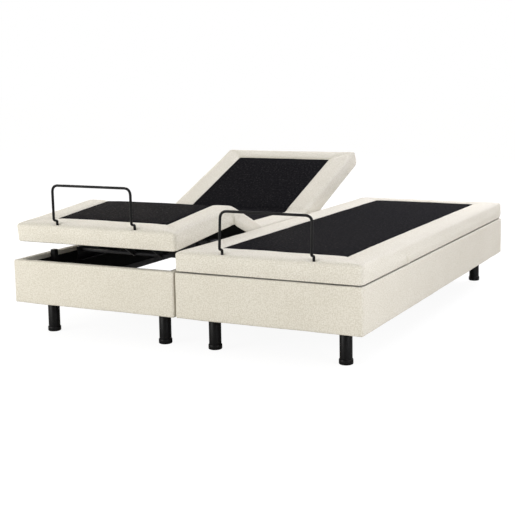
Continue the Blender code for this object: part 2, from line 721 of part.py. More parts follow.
def make_retainer_bar(side, frame):
    """The wire bar that keeps the mattress from sliding: an upright U with a jog at each foot."""
    upright_y = FOOT_END + BAR_FROM_END
    socket_y = upright_y + BAR_JOG
    top = PAD_TOP + BAR_RISE - BAR_RADIUS
    jog_low = PAD_TOP + BAR_JOG_RISE
    jog_high = jog_low + BAR_JOG_HEIGHT
    half = BAR_WIDTH / 2
    ease, sway = BAR_JOG_EASE
    leg = [(socket_y, PAD_TOP - BAR_DEPTH), (socket_y, jog_low - ease), (socket_y - sway, jog_low + ease),
           (upright_y + sway, jog_high - ease), (upright_y, jog_high + ease)]
    corner = arc((half - BAR_BEND, top - BAR_BEND), BAR_BEND, 0, math.pi / 2)
    side_points = [(half, y, z) for y, z in leg] + [(x, upright_y, z) for x, z in corner]
    path = side_points + [(-x, y, z) for x, y, z in reversed(side_points)]
    curve = bpy.data.curves.new(side + "_retainer_bar", "CURVE")
    curve.dimensions = "3D"
    curve.bevel_depth = BAR_RADIUS
    curve.bevel_resolution = 2
    curve.use_fill_caps = True
    spline = curve.splines.new("POLY")
    spline.points.add(len(path) - 1)
    for point, place in zip(spline.points, path):
        point.co = (*(Vector(place) - frame.place), 1)
    bar = bpy.data.objects.new(side + "_retainer_bar", curve)
    bar.parent = frame.empty
    curve.materials.append(BLACK_METAL)
    PARTS.objects.link(bar)


def make_base(side, x_offset, back_lift, thigh_lift):
    back_lift, thigh_lift = math.radians(back_lift), math.radians(thigh_lift)
    base = Frame(side + "_base", (0, 0, 0), x_offset=x_offset)
    frames = {
        "base": base,
        "back": Frame(side + "_back_hinge", BACK_HINGE, base),
        "thigh": Frame(side + "_thigh_hinge", THIGH_HINGE, base),
        "stay": Frame(side + "_stay_pivot", STAY_PIVOT, base),
        "back_rod": Frame(side + "_back_rod_slide", BACK_HINGE, base),
        "thigh_rod": Frame(side + "_thigh_rod_slide", THIGH_HINGE, base),
    }
    frames["knee"] = Frame(side + "_knee_hinge", KNEE, frames["thigh"])
    frames["bar"] = Frame(side + "_bar_slide", (0, FOOT_END + BAR_FROM_END, PAD_TOP), frames["knee"])
    frames["back"].lift(back_lift)
    frames["thigh"].lift(-thigh_lift)
    frames["knee"].lift(thigh_lift * KNEE_RATIO)
    frames["stay"].lift(-thigh_lift * STAY_RATIO)
    frames["back_rod"].slide((0, back_lift * BACK_DRIVE_RATIO, 0))
    frames["thigh_rod"].slide((0, -thigh_lift * THIGH_DRIVE_RATIO, 0))

    make_box(side, base)
    for end, y_sign in (("foot", -1), ("head", 1)):
        for hand, x_sign in (("left", -1), ("right", 1)):
            make_leg(
                f"{side}_{end}_{hand}_leg", base,
                x_sign * (BASE_WIDTH / 2 - LEG_INSET), y_sign * (HEAD_END - LEG_INSET),
            )
    make_rails(side, base)
    make_crossbars(side, base)
    make_sections(side, frames)
    make_lift_frames(side, frames)
    make_drive(
        side, "back", base, frames["back_rod"], BACK_HINGE, -LEVER_SPACING / 2, BACK_HALF_ANGLE, 1,
        BACK_DRIVE_RATIO,
    )
    make_drive(
        side, "thigh", base, frames["thigh_rod"], THIGH_HINGE, LEVER_SPACING / 2, THIGH_HALF_ANGLE, -1,
        THIGH_DRIVE_RATIO,
    )
    make_retainer_bar(side, frames["bar"])
    return base


def make_shared(left_base):
    """The control box under the left seat, and the plate that couples the two boxes."""
    length, width, height = CONTROL_SIZE
    piece(
        "control_box", left_base, DRIVE_PLASTIC,
        [block_about(
            (-RAIL_INSIDE / 2 - CONTROL_OUTWARD, (THIGH_HINGE.y + BACK_HINGE.y) / 2, ARM_TOP - height / 2),
            (length, width, height),
        )],
        bevel=BOARD_EDGE,
    )
    centre = Frame("pair_centre", (0, 0, 0))
    across, along, thick = COUPLER_SIZE
    piece(
        "coupler_plate", centre, GREY_STEEL,
        [block_about((0, 0, LEG_HEIGHT - TOUCH - thick / 2), (across, along, thick))],
    )


BASE_PITCH = BASE_WIDTH + BASE_GAP
left = make_base("left", -BASE_PITCH / 2, LEFT_BACK, LEFT_THIGH)
make_base("right", BASE_PITCH / 2, 0, 0)
make_shared(left)
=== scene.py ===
"""Looks for the adjustable twin bed base: padded covers, upholstered boxes, legs, bars and the lift gear.

Metres, +Z up. Each base is first laid out flat about its own middle, and its covers are then bent
to where its sections stand. The left base stands raised and the right base lies flat.
"""

import json
import math

import bmesh
import bpy
import numpy as np
from mathutils import Matrix, Vector, noise


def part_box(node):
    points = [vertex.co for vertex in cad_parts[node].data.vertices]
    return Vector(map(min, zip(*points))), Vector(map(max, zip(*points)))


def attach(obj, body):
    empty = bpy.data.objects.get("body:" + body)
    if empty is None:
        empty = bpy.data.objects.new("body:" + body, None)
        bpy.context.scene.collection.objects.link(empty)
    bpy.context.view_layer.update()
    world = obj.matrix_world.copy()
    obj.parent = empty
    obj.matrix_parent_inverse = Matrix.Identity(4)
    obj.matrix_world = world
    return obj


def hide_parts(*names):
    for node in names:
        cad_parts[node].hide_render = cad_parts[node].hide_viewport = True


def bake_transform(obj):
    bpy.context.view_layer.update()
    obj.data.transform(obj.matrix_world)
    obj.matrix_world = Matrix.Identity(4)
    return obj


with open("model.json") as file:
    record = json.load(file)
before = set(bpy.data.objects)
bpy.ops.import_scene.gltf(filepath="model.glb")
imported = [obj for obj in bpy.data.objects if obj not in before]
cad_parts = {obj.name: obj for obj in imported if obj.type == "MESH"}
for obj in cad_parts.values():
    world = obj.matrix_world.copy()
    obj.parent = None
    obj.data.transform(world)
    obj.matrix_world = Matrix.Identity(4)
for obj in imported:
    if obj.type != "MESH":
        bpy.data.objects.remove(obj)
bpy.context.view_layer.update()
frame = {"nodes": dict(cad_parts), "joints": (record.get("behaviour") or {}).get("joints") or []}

# Sizes taken from the flat right-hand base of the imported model
PAD_LOW, PAD_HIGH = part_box("right_seat_pad")
FOOT_LOW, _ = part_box("right_foot_pad")
_, BACK_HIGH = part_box("right_back_pad")
BOARD_LOW, BOARD_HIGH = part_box("right_left_side_board")
_, LEG_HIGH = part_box("right_foot_left_leg")
BLOCK_LOW, BLOCK_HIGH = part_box("right_right_bumper_block")
BAR_LOW, BAR_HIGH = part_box("right_retainer_bar")

PITCH = (PAD_LOW.x + PAD_HIGH.x) / 2
HALF_WIDTH = (PAD_HIGH.x - PAD_LOW.x) / 2
FOOT_END, HEAD_END = FOOT_LOW.y, BACK_HIGH.y
PAD_BOTTOM, PAD_TOP = PAD_LOW.z, PAD_HIGH.z
BOX_BOTTOM, RIM = BOARD_LOW.z, BOARD_HIGH.z
BOARD_THICKNESS = BOARD_HIGH.x - BOARD_LOW.x
INNER_HALF = HALF_WIDTH - BOARD_THICKNESS

JOINTS = {joint["name"]: joint for joint in frame["joints"]}


def hinge_of(joint_name):
    """Where a cross hinge of the flat right-hand base lies, along Y and Z."""
    return tuple(JOINTS[joint_name]["pos_m"][1:])


BACK_HINGE = hinge_of("right_back_lift")
THIGH_HINGE = hinge_of("right_thigh_lift")
KNEE = hinge_of("right_knee_bend")

# The padded covers
EDGE_RADIUS = 0.024
UNDER_RADIUS = 0.008
NOSE_RADIUS = 0.030
CORNER_RADIUS = 0.011
COVER_INSET = 0.002
# The cream border round the black panel, each base as it was sewn
SIDE_BORDERS = {"left": 0.120, "right": 0.126}
FOOT_BORDERS = {"left": 0.138, "right": 0.160}
HEAD_BORDER = 0.108
# Where one cover piece ends and the next begins
MID_THIGH = -0.360
MID_SEAT = 0.025
LINING_INSET = 0.018
# How far the black lining reaches up the bottom rounding of the covers, as a painted shadow line where each
# cover sits on its box
SHADOW_GAP_HEIGHT = 0.0018
GRID = 0.013
# How far the padding may press out, and how far of that past the base's own half of the pair
PUFF_LIMIT = 0.005
SIDE_PRESS = 0.0026
CLOTH_FRAMES = 20

# The retainer bars' sockets, and the recesses that the bumper blocks stand in
SOCKET_X = 0.195
SOCKET_Y = FOOT_END + 0.027
RECESS_ROOM, RECESS_WALL = 0.004, 0.002
RECESS_HEIGHT = 0.0035


def recess_edges(low, high):
    """The inner and outer edge of a recess's wall, on both sides of a block."""
    outer = RECESS_ROOM + RECESS_WALL
    return [low - outer, low - RECESS_ROOM, high + RECESS_ROOM, high + outer]


RECESS_X = recess_edges(BLOCK_LOW.x - PITCH, BLOCK_HIGH.x - PITCH)
RECESS_Y = recess_edges(BLOCK_LOW.y, BLOCK_HIGH.y)

# Fine loops, as offsets from a seam, a hinge or a socket
SEAM_LOOPS = (-0.010, -0.005, 0.0, 0.005, 0.010)
KNEE_LOOPS = [i * 0.002 for i in range(-9, 10)]
THIGH_LOOPS = [i * 0.006 for i in range(-8, 9)]
BACK_LOOPS = [i * 0.007 for i in range(-9, 10)]
SOCKET_LOOPS_X = (-0.018, -0.009, 0.0, 0.009, 0.018)
SOCKET_LOOPS_Y = (-0.012, -0.006, 0.0, 0.006, 0.012)
NOSE_LOOPS = (1.0, 0.8, 0.62, 0.46, 0.32)
LOOP_GAP = 0.004

# The pitch of each cloth's yarns, as the weave map shows it
CREAM_YARN = 0.0021
GRIP_YARN = 0.0016

# The upholstered boxes
BOX_CORNER_RADIUS = 0.009
BOX_UNDER_RADIUS = 0.007
BOX_INNER_RADIUS = 0.003
RIM_RADIUS = 0.006
BOX_GRID = 0.02
BOX_LOOPS = (0.028, 0.060, 0.095, 0.130)
# How far the cloth wraps down inside, where it is tacked, and the black tape on the rim
WRAP_DEPTH = 0.019
TACK_OFFSET = 0.007
TAPE_REACH = 0.005
TAPE_WIDTH = 0.007
BAND_THICKNESS, BAND_HEIGHT, BAND_SHORT = 0.004, 0.028, 0.16

# The wire of the bars and the steel of the legs
BAR_RADIUS = 0.0055
BAR_LEAN = 0.011
LEG_RADIUS = 0.025
CAP_RADIUS = 0.028
CAP_HEIGHT = 0.022

# The studio: the surround, then each softbox's place, aim, size, watts and colour
SURROUND = (1.0, 0.985, 0.945)
SURROUND_STRENGTH = 0.59
SOFTBOXES = (
    ("front_softbox", (-2.4, -4.4, 1.1), (0.0, -1.0, 0.3), (3.0, 1.6), 116, (1.0, 0.995, 0.975)),
    ("right_softbox", (2.7, -1.7, 0.9), (0.8, -0.8, 0.25), (1.6, 1.2), 26, (1.0, 1.01, 1.06)),
    ("back_softbox", (0.4, 3.8, 2.8), (0.0, 0.0, 0.4), (3.6, 1.4), 32, (1.0, 1.0, 1.08)),
    ("high_back_softbox", (1.4, 5.4, 4.2), (0.0, -0.2, 0.4), (4.5, 2.0), 370, (1.0, 1.0, 1.12)),
    ("left_rim_softbox", (-3.2, 2.7, 1.2), (-0.5, -0.6, 0.45), (1.6, 0.9), 62, (1.10, 1.0, 0.86)),
)

# The camera: its place, its yaw, pitch and roll in degrees, its lens and its shift
CAMERA_PLACE = (2.1703, -4.4332, 1.0827)
CAMERA_TURN = (25.73, 6.724, 0.7507)
LENS, SENSOR_WIDTH = 72.55, 36.0
LENS_SHIFT = (-0.0631, -0.1117)


def clear_startup():
    for name in ("Cube", "Camera", "Light"):
        found = bpy.data.objects.get(name)
        if found:
            bpy.data.objects.remove(found, do_unlink=True)


clear_startup()


# ---------------------------------------------------------------- finishes


class Value:
    """A shader value. Each operator on it adds its Math node to the finish."""

    def __init__(self, finish, socket):
        self.finish, self.socket = finish, socket

    def _math(self, operation, *values, clamp=False):
        return self.finish.node(
            "Math", dict(enumerate(values)), operation=operation, use_clamp=clamp
        )

    def __add__(self, other):
        return self._math("ADD", self, other)

    def __radd__(self, other):
        return self._math("ADD", other, self)

    def __sub__(self, other):
        return self._math("SUBTRACT", self, other)

    def __rsub__(self, other):
        return self._math("SUBTRACT", other, self)

    def __mul__(self, other):
        return self._math("MULTIPLY", self, other)

    def sine(self):
        return self._math("SINE", self)

    def clamped(self):
        return self._math("ADD", self, 0.0, clamp=True)


class Finish:
    """A material under construction."""

    def __init__(self, name):
        self.material = bpy.data.materials.new(name)
        self.material.use_nodes = True
        self.tree = self.material.node_tree
        self.tree.nodes.clear()

    def node(self, kind, sockets=(), output=0, **settings):
        """A node by its type, its settings first, then the values or links of its sockets."""
        made = self.tree.nodes.new("ShaderNode" + kind)
        for name, value in settings.items():
            setattr(made, name, value)
        for key, value in dict(sockets).items():
            if isinstance(value, Value):
                self.tree.links.new(value.socket, made.inputs[key])
            else:
                made.inputs[key].default_value = value
        return Value(self, made.outputs[output])

    def place(self):
        """The object's own coordinates."""
        return self.node("TexCoord", output=3)

    def mixed(self, factor, first, second):
        """Two colours mixed by a factor."""
        first, second = (c if isinstance(c, Value) else (*c, 1.0) for c in (first, second))
        return self.node("Mix", {0: factor, 6: first, 7: second}, output=2, data_type="RGBA")

    def scaled(self, vector, scale):
        return self.node("VectorMath", {0: vector, 1: scale}, operation="MULTIPLY")

    def cloud(self, place, scale, detail, roughness):
        """Smooth noise, from 0 to 1."""
        return self.node(
            "TexNoise", {"Vector": place, "Scale": scale, "Detail": detail, "Roughness": roughness}
        )

    def bumped(self, height, distance, strength):
        return self.node("Bump", {"Height": height, "Distance": distance, "Strength": strength})

    def weave(self, place, pitch):
        """A plain weave of crossing yarns, from 0 to 1."""
        u = self.node("SeparateXYZ", {0: place}, output=0)
        v = self.node("SeparateXYZ", {0: place}, output=1)
        yarn = 2 * math.pi / pitch
        return (u * yarn).sine() * (v * yarn).sine() * 0.5 + 0.5

    def ends(self, sockets):
        shader = self.node("BsdfPrincipled", sockets)
        self.node_output(shader)
        return self.material

    def node_output(self, shader):
        made = self.tree.nodes.new("ShaderNodeOutputMaterial")
        self.tree.links.new(shader.socket, made.inputs["Surface"])


def shaded(colour, *shares):
    """A colour with each channel at its own share."""
    return tuple(channel * share for channel, share in zip(colour, shares))


def cream_weave(name, light, dark):
    """Linen-like melange cloth: a plain weave of uneven yarns, read from the weave map in metres."""
    cloth = Finish(name)
    place = cloth.node("UVMap", uv_map="weave")
    weave = cloth.weave(place, CREAM_YARN)
    warp_slubs = cloth.cloud(cloth.scaled(place, (330, 60, 1)), 1.0, 3.0, 0.7)
    weft_slubs = cloth.cloud(cloth.scaled(place, (60, 330, 1)), 1.0, 3.0, 0.7)
    flecks = cloth.cloud(cloth.scaled(place, (195, 180, 1)), 1.0, 3.0, 0.8)
    drift = cloth.cloud(place, 6.0, 3.0, 0.55)
    yarns = warp_slubs * 0.5 + weft_slubs * 0.5

    tone = ((yarns - 0.5) * 7.0 + (flecks - 0.5) * 6.5 + (drift - 0.5) * 0.8 + 0.5).clamped()
    base = cloth.mixed(tone, dark, light)
    shadowed = cloth.mixed((1 - weave) * 0.16, base, shaded(dark, 0.62, 0.60, 0.54))
    slub_marks = ((warp_slubs - 0.63) * 9.0).clamped() * 0.30
    coloured = cloth.mixed(slub_marks, shadowed, shaded(dark, 0.74, 0.72, 0.66))
    height = weave * 0.6 + yarns * 0.9 + drift * 0.3
    return cloth.ends({
        "Base Color": coloured,
        "Roughness": 0.86 + (yarns - 0.5) * 0.2,
        "Specular IOR Level": 0.25,
        "Sheen Weight": 0.10,
        "Sheen Roughness": 0.5,
        "Sheen Tint": (0.96, 0.94, 0.90, 1.0),
        "Normal": cloth.bumped(height, 0.0011, 0.75),
    })


def grip_fabric(name):
    """Black anti-slip cloth: a tight weave with small raised rubber dots, with painted glints on the dots."""
    cloth = Finish(name)
    place = cloth.node("UVMap", uv_map="weave")
    weave = cloth.weave(place, GRIP_YARN)
    cell = cloth.node(
        "TexVoronoi", {"Vector": cloth.scaled(place, (1, 1, 0)), "Scale": 235.0, "Randomness": 0.55}
    )
    dots = ((0.30 - cell) * 9.0).clamped()
    patches = cloth.cloud(place, 88.0, 3.0, 0.8)
    speck = cloth.cloud(place, 210.0, 3.0, 0.7)
    # The ground's tone varies at random in patches. Painted glints: some dots and the brightest patches are
    # lightened to a brownish grey in the base colour, in place of light caught by the glossy dots.
    lit = (dots * ((speck - 0.42) * 5.0).clamped()).clamped()
    ground_mottle = ((patches - 0.5) * 2.6 + 0.5).clamped()
    ground = cloth.mixed(ground_mottle, (0.0016, 0.0016, 0.0024), (0.0100, 0.0096, 0.0120))
    painted_glints = (lit * 0.3 + ((patches - 0.58) * 9.0).clamped() * 0.6).clamped()
    colour = cloth.mixed(painted_glints, ground, (0.075, 0.071, 0.064))
    return cloth.ends({
        "Base Color": colour,
        "Roughness": 0.92 - dots * 0.12 + (speck - 0.5) * 0.1,
        "Specular IOR Level": 0.017,
        "Normal": cloth.bumped(weave * 0.35 + dots * 1.0 + speck * 0.4, 0.0007, 0.8),
    })


def lining_cloth(name, low, high):
    """Thin dust cover, black or grey, with a pressed dot pattern."""
    cloth = Finish(name)
    place = cloth.place()
    cell = cloth.node("TexVoronoi", {"Vector": place, "Scale": 210.0, "Randomness": 0.25})
    pressed = ((0.28 - cell) * 8.0).clamped()
    fibres = cloth.cloud(cloth.scaled(place, (260, 190, 320)), 1.0, 3.0, 0.7)
    tone = (fibres * 0.7 + pressed * 0.5).clamped()
    return cloth.ends({
        "Base Color": cloth.mixed(tone, (low, low, low * 1.05), (high, high, high * 1.06)),
        "Roughness": 0.85 - pressed * 0.2,
        "Specular IOR Level": 0.10,
        "Normal": cloth.bumped(fibres * 0.5 - pressed * 0.8, 0.0005, 0.7),
    })


def coated_metal(name, colour, rough, metallic, grain, shine):
    """Powder-coated or painted metal: a fine orange-peel skin, with soft handling marks."""
    coat = Finish(name)
    place = coat.place()
    peel = coat.cloud(place, grain, 2.0, 0.5)
    marks = coat.cloud(place, 34.0, 4.0, 0.62)
    tone = (marks - 0.5) * 0.9 + 0.5
    lighter = tuple(min(1.0, c * 1.5 + 0.002) for c in colour)
    darker = shaded(colour, 0.75, 0.75, 0.75)
    return coat.ends({
        "Base Color": coat.mixed(tone.clamped(), darker, lighter),
        "Roughness": rough + (marks - 0.5) * 0.22 + (peel - 0.5) * 0.08,
        "Metallic": metallic,
        "Specular IOR Level": shine,
        "Normal": coat.bumped(peel, 0.00025, 0.6),
    })


def drawn_steel(name):
    """Bright rod, polished along its length."""
    steel = Finish(name)
    place = steel.place()
    lines = steel.cloud(steel.scaled(place, (1600, 12, 1600)), 1.0, 2.0, 0.6)
    stains = steel.cloud(place, 22.0, 4.0, 0.6)
    return steel.ends({
        "Base Color": steel.mixed(stains, (0.46, 0.46, 0.46), (0.66, 0.66, 0.65)),
        "Roughness": 0.24 + lines * 0.18,
        "Metallic": 1.0,
        "Normal": steel.bumped(lines, 0.00012, 0.5),
    })


def moulded_plastic(name, colour):
    """Spark-textured housing plastic."""
    plastic = Finish(name)
    place = plastic.place()
    grain = plastic.cloud(place, 1500.0, 3.0, 0.6)
    patches = plastic.cloud(place, 18.0, 3.0, 0.5)
    darker = shaded(colour, 0.8, 0.8, 0.8)
    lighter = shaded(colour, 1.35, 1.35, 1.35)
    return plastic.ends({
        "Base Color": plastic.mixed(patches, darker, lighter),
        "Roughness": 0.50 + (grain - 0.5) * 0.25,
        "Specular IOR Level": 0.2,
        "Normal": plastic.bumped(grain, 0.0002, 0.5),
    })


def pine(name):
    """Plain softwood with its grain along X."""
    wood = Finish(name)
    place = wood.place()
    wander = wood.cloud(wood.scaled(place, (1.2, 9, 9)), 1.0, 3.0, 0.6)
    across = wood.node("SeparateXYZ", {0: place}, output=1)
    rings = (across * 260.0 + wander * 26.0).sine() * 0.5 + 0.5
    pores = wood.cloud(wood.scaled(place, (18, 700, 700)), 1.0, 3.0, 0.7)
    grain = (rings * 0.6 + pores * 0.5).clamped()
    return wood.ends({
        "Base Color": wood.mixed(grain, (0.56, 0.38, 0.21), (0.40, 0.245, 0.12)),
        "Roughness": 0.62 + pores * 0.15,
        "Normal": wood.bumped(grain, 0.0004, 0.6),
    })


def soft_rubber(name):
    """Black rubber and foam with a dusty skin."""
    rubber = Finish(name)
    place = rubber.place()
    skin = rubber.cloud(place, 700.0, 3.0, 0.6)
    dust = rubber.cloud(place, 40.0, 4.0, 0.6)
    return rubber.ends({
        "Base Color": rubber.mixed(dust, (0.006, 0.006, 0.006), (0.014, 0.014, 0.0145)),
        "Roughness": 0.72 + (skin - 0.5) * 0.2,
        "Specular IOR Level": 0.12,
        "Normal": rubber.bumped(skin, 0.0004, 0.6),
    })


CREAM = cream_weave("cream_cloth", (0.815, 0.785, 0.705), (0.655, 0.618, 0.525))
CREAM_BOX = cream_weave("box_cream_cloth", (0.800, 0.768, 0.685), (0.645, 0.606, 0.510))
GRIP = grip_fabric("black_grip_cloth")
LINING = lining_cloth("black_lining", 0.0035, 0.009)
GREY_LINING = lining_cloth("grey_lining_band", 0.060, 0.100)
SATIN_BLACK = coated_metal("satin_black_enamel", (0.0035, 0.0035, 0.0038), 0.38, 0.0, 900.0, 0.14)
GREY_COAT = coated_metal("grey_powder_coat", (0.030, 0.030, 0.033), 0.5, 0.2, 1400.0, 0.25)
BRIGHT = drawn_steel("bright_drawn_steel")
HOUSING = moulded_plastic("drive_housing_plastic", (0.018, 0.018, 0.020))
WOOD = pine("pine_beam")
RUBBER = soft_rubber("bumper_rubber")


# ---------------------------------------------------------------- bending a flat base to its stand


def turned(points, hinge, angles):
    """Points turned about a cross hinge, each by its own angle; positive lifts the +Y side."""
    cosine, sine = np.cos(angles), np.sin(angles)
    y, z = points[:, 1] - hinge[0], points[:, 2] - hinge[1]
    out = points.copy()
    out[:, 1] = hinge[0] + y * cosine - z * sine
    out[:, 2] = hinge[1] + y * sine + z * cosine
    return out


class Stand:
    """How one base stands at rest: its place across the pair, and the angle of each section."""

    def __init__(self, side, x):
        self.side, self.x = side, x
        self.back = -math.radians(JOINTS[side + "_back_lift"]["range_deg"][0])
        self.thigh = math.radians(JOINTS[side + "_thigh_lift"]["range_deg"][0])
        self.knee = -math.radians(JOINTS[side + "_knee_bend"]["range_deg"][0])

    def body(self, section):
        return "boxes" if section == "boxes" else f"{self.side}_{section}"

    def onto_foot(self, points):
        """Flat points carried with the foot section."""
        points = np.atleast_2d(np.asarray(points, float))
        count = len(points)
        moved = turned(points, KNEE, np.full(count, self.knee))
        return self.placed(turned(moved, THIGH_HINGE, np.full(count, self.thigh)))

    def placed(self, points):
        return points + np.array([self.x, 0, 0])


class Fold:
    """Where a cover bends between two sections, at rest."""

    def __init__(self, stand, first, second, hinge, turn, facing, length):
        self.stand, self.first, self.second = stand, first, second
        self.hinge, self.turn = hinge, turn
        at = np.array([[0.0, *hinge]])
        middle_turn = turn / 2
        if first == "thigh_section":
            at = turned(at, THIGH_HINGE, np.array([stand.thigh]))
            middle_turn += stand.thigh
        along = np.array([0.0, math.cos(middle_turn), math.sin(middle_turn)]) * facing
        self.start = at[0] - along * length / 2
        self.end = at[0] + along * length / 2

    def weight(self, rest):
        run = self.end - self.start
        share = np.clip((rest - self.start) @ run / (run @ run), 0, 1)
        return share * share * (3 - 2 * share)

    def carried(self, flat, weight):
        moved = turned(flat, self.hinge, self.turn * weight)
        if self.first == "thigh_section":
            moved = turned(moved, THIGH_HINGE, np.full(len(flat), self.stand.thigh))
        return moved

    def bent(self, flat):
        """Where flat points rest. The weight is read at rest."""
        weight = self.weight(self.carried(flat, np.zeros(len(flat))))
        for _ in range(160):
            weight = weight * 0.6 + self.weight(self.carried(flat, weight)) * 0.4
        return self.carried(flat, weight)

    def hold(self, piece):
        offset = Vector((self.stand.x, 0, 0))
        self.stand.body(self.first)
        self.stand.body(self.second)
        Vector(self.start) + offset
        Vector(self.end) + offset
        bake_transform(piece)


def folds_of(stand):
    """The three cover pieces of a base: name, the flat range it covers, its fold."""
    return [
        ("foot_and_thigh_cover", FOOT_END - 1, MID_THIGH,
         Fold(stand, "thigh_section", "foot_section", KNEE, stand.knee, -1, 0.054)),
        ("thigh_and_seat_cover", MID_THIGH, MID_SEAT,
         Fold(stand, "boxes", "thigh_section", THIGH_HINGE, stand.thigh, -1, 0.080)),
        ("seat_and_back_cover", MID_SEAT, HEAD_END + 1,
         Fold(stand, "boxes", "back_section", BACK_HINGE, stand.back, 1, 0.112)),
    ]


# ---------------------------------------------------------------- mesh helpers


def add_piece(name, bm, *materials, sharp=50.0):
    """A smooth-shaded piece from a bmesh, with hard edges above an angle."""
    mesh = bpy.data.meshes.new(name)
    bm.to_mesh(mesh)
    bm.free()
    for material in materials:
        mesh.materials.append(material)
    mesh.polygons.foreach_set("use_smooth", [True] * len(mesh.polygons))
    mesh.set_sharp_from_angle(angle=math.radians(sharp))
    piece = bpy.data.objects.new(name, mesh)
    bpy.context.scene.collection.objects.link(piece)
    return piece


def cut_across(bm, axis, place, faces=None):
    """One loop of edges where a plane across an axis meets the mesh, or only those faces."""
    normal = Vector((0, 0, 0))
    normal[axis] = 1.0
    point = normal * place
    if faces is None:
        chosen = bm.faces
    else:
        chosen = [f for f in bm.faces if faces(f.calc_center_median())]
    edges = {e for f in chosen for e in f.edges}
    verts = {v for f in chosen for v in f.verts}
    geometry = list(verts) + list(edges) + list(chosen)
    bmesh.ops.bisect_plane(bm, geom=geometry, dist=1e-5, plane_co=point, plane_no=normal)


def rounded(bm, edges, radius, segments, clamped=False):
    """Edges turned to an arc of one radius."""
    bmesh.ops.bevel(
        bm, geom=edges, offset=radius, offset_type="OFFSET", segments=segments,
        profile=0.5, affect="EDGES", material=-1, clamp_overlap=clamped,
    )


def is_upright(edge):
    return abs(edge.verts[0].co.z - edge.verts[1].co.z) > 0.01


def level_at(edge, height):
    return all(abs(vert.co.z - height) < 1e-5 for vert in edge.verts)


def spaced(low, high, step):
    count = max(1, round((high - low) / step))
    return [low + (high - low) * i / count for i in range(count + 1)]


def with_fine(places, fine, gap):
    """Loop places with the even ones that crowd a fine one left out."""
    kept = [p for p in places if all(abs(p - f) > gap for f in fine)]
    return sorted(kept + list(fine))


def around(centre, offsets):
    return [centre + o for o in offsets]


def lay_weave(bm, top, run_of=lambda y: y):
    """The weave map in metres: cloth runs over each edge and down the sides, along both ways."""
    layer = bm.loops.layers.uv.new("weave")
    for face in bm.faces:
        flat = [loop.vert.co.copy() for loop in face.loops]
        normal = Vector((0, 0, 0))
        for i, here in enumerate(flat):
            normal += here.cross(flat[(i + 1) % len(flat)])
        level = abs(normal.z) > 0.999 * max(normal.length, 1e-12)
        sideways = abs(normal.x) >= abs(normal.y)
        middle = sum(flat, Vector()) / len(flat)
        for loop, point in zip(face.loops, flat):
            drop = top - point.z
            x, y = point.x, run_of(point.y)
            if not level and sideways:
                x += math.copysign(drop, middle.x)
            elif not level:
                y += math.copysign(drop, middle.y)
            loop[layer].uv = (x, y)


def bell(distance, width):
    return np.exp(-(distance / width) ** 2)


def smooth_noise(points, scale, seed):
    """Even-handed noise between about -1 and 1 at each point."""
    offset = Vector((seed * 7.31, seed * 3.77, seed * 5.13))
    return np.array([noise.noise(Vector(p) * scale + offset) for p in points])


# ---------------------------------------------------------------- the padded covers


def flat_slab(side_border, foot_border):
    """The whole platform of one base before padding: a rounded slab with loops where it will bend,
    along the panel seam and its mitres, and round the recesses."""
    bm = bmesh.new()
    bmesh.ops.create_cube(bm, size=1.0)
    length = HEAD_END - FOOT_END - 2 * COVER_INSET
    size = Vector((2 * (HALF_WIDTH - COVER_INSET), length, PAD_TOP - PAD_BOTTOM))
    bmesh.ops.scale(bm, vec=size, verts=bm.verts)
    bmesh.ops.translate(bm, vec=(0, 0, (PAD_TOP + PAD_BOTTOM) / 2), verts=bm.verts)

    rounded(bm, [e for e in bm.edges if is_upright(e)], CORNER_RADIUS, 6, True)
    for height, radius, segments in ((PAD_TOP, EDGE_RADIUS, 7), (PAD_BOTTOM, UNDER_RADIUS, 4)):
        rounded(bm, [e for e in bm.edges if level_at(e, height)], radius, segments, True)

    panel_x = HALF_WIDTH - side_border
    panel_foot, panel_head = FOOT_END + foot_border, HEAD_END - HEAD_BORDER
    fine_y = around(panel_foot, SEAM_LOOPS) + around(panel_head, SEAM_LOOPS)
    fine_y += around(KNEE[0], KNEE_LOOPS)
    fine_y += around(THIGH_HINGE[0], THIGH_LOOPS)
    fine_y += around(BACK_HINGE[0], BACK_LOOPS)
    fine_y += around(SOCKET_Y, SOCKET_LOOPS_Y)
    fine_y += [MID_THIGH, MID_SEAT]
    fine_y += [HEAD_END - COVER_INSET - NOSE_RADIUS * share for share in NOSE_LOOPS]
    reach = HEAD_END - 0.5 * EDGE_RADIUS
    for y in with_fine(spaced(-reach, reach, GRID), fine_y, LOOP_GAP):
        cut_across(bm, 1, y)

    fine_x = around(panel_x, SEAM_LOOPS) + around(-panel_x, SEAM_LOOPS)
    for side in (-1, 1):
        fine_x += around(side * SOCKET_X, SOCKET_LOOPS_X)
    reach = HALF_WIDTH - 0.5 * EDGE_RADIUS
    above = PAD_BOTTOM + UNDER_RADIUS
    for x in with_fine(spaced(-reach, reach, GRID), fine_x, LOOP_GAP):
        cut_across(bm, 0, x, lambda centre: centre.z > above or abs(centre.y) > HEAD_END - 0.02)
    for z in spaced(PAD_BOTTOM + UNDER_RADIUS, PAD_TOP - EDGE_RADIUS, 0.006)[1:-1]:
        cut_across(bm, 2, z)

    def under(centre):
        return centre.z < PAD_BOTTOM + 0.0005

    for x in (HALF_WIDTH - LINING_INSET, *RECESS_X):
        for side in (-1, 1):
            cut_across(bm, 0, side * x, under)
    for y in (FOOT_END + LINING_INSET, HEAD_END - LINING_INSET, *RECESS_Y):
        cut_across(bm, 1, y, under)
    round_nose(bm)
    bmesh.ops.recalc_face_normals(bm, faces=bm.faces)
    return bm


def round_nose(bm):
    """The head end is a full round nose: its lower edge is drawn up and back."""
    back, low = HEAD_END - COVER_INSET - NOSE_RADIUS, PAD_BOTTOM + NOSE_RADIUS
    for vert in bm.verts:
        if vert.co.y > back + 1e-5 and vert.co.z < low:
            out = Vector((0, vert.co.y - back, vert.co.z - low))
            share = max(abs(out.y), abs(out.z)) / out.length
            vert.co.y, vert.co.z = back + out.y * share, low + out.z * share


